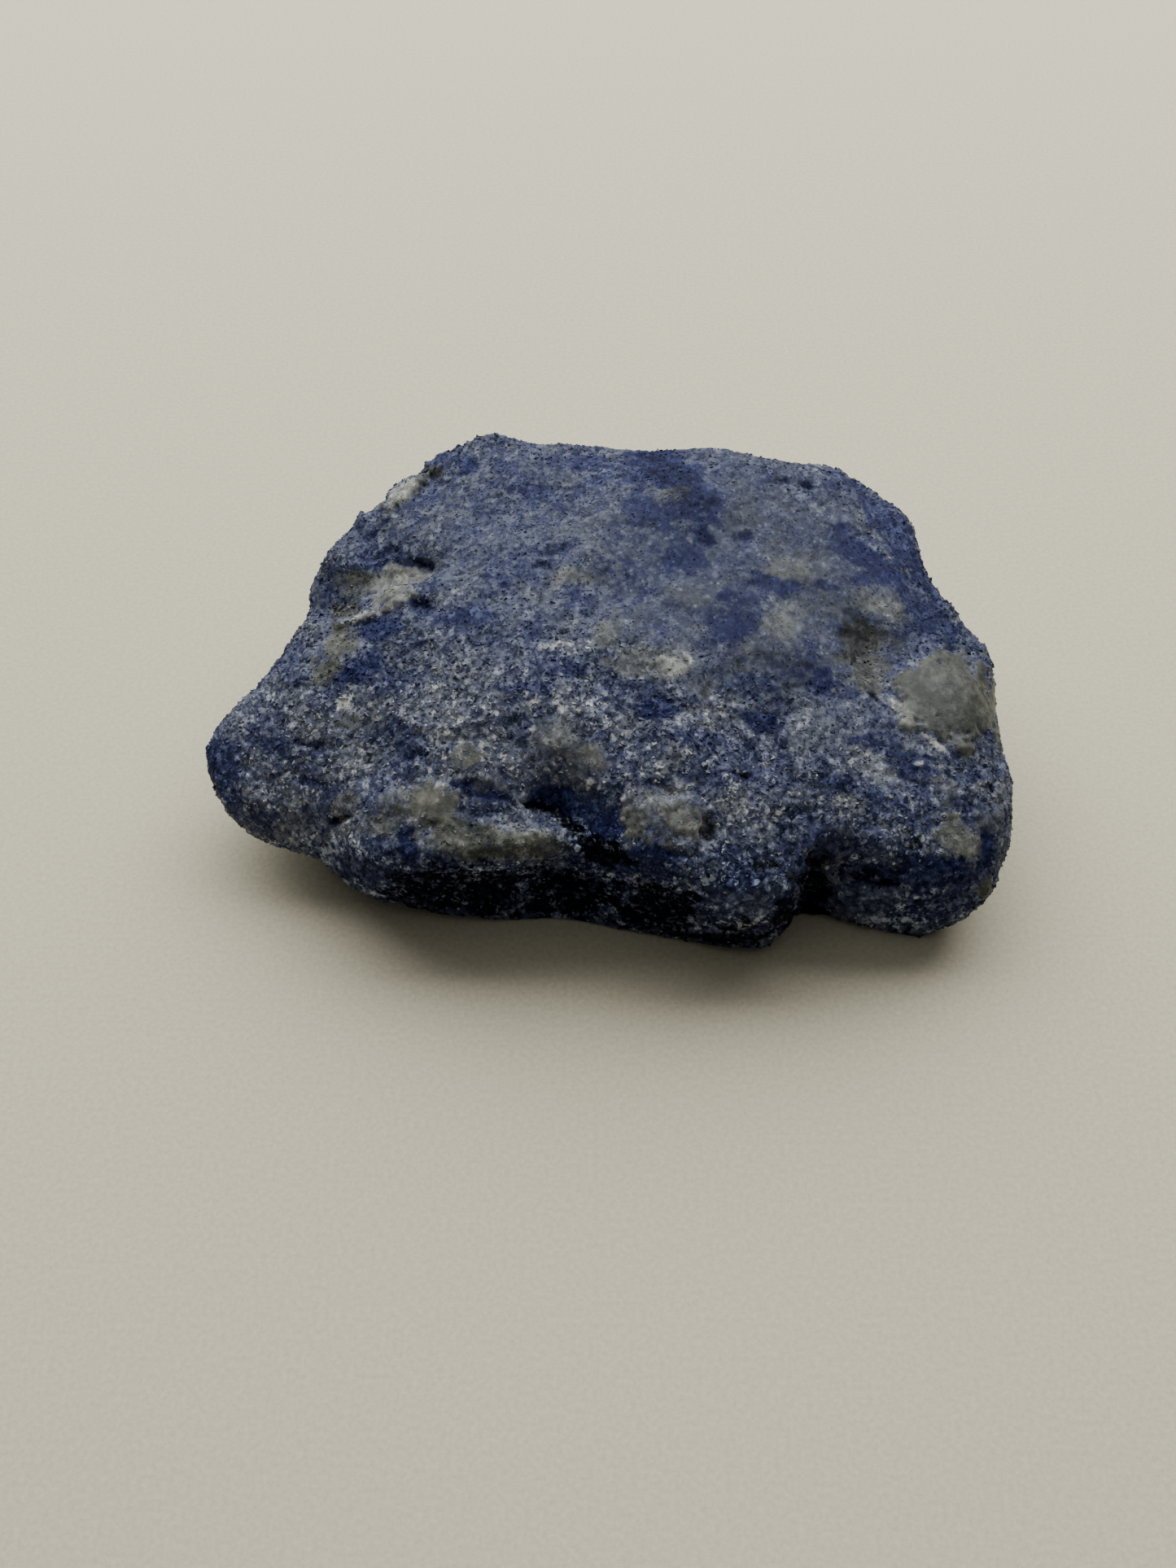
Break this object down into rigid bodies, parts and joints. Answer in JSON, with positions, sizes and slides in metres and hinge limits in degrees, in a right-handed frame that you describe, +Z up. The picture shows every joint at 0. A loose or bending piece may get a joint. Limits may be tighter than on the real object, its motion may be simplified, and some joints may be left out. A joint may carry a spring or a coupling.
{
  "type": "dumortierite specimen",
  "caption": "Rough broken chip of blue dumortierite quartz with grey and white quartz patches, a broad sloping top, a notched front edge and a flat face to rest on.",
  "frame": {"origin": "centre of the stone's bounding box in plan, on the plane of the flat face that it rests on", "axes": "+Z up out of the rest face, +X along the stone's length from its thin tip to its blunt end, -Y towards the notched front edge, where the broad top is lowest"},
  "size_m": [0.0364, 0.0266, 0.0106],
  "materials": {
    "dumortierite_quartz": "rough broken surface, sugary grain, dull with small glassy quartz spots"
  },
  "bodies": {
    "root": {"dumortierite_stone": "dumortierite_quartz"}
  },
  "joints": []
}
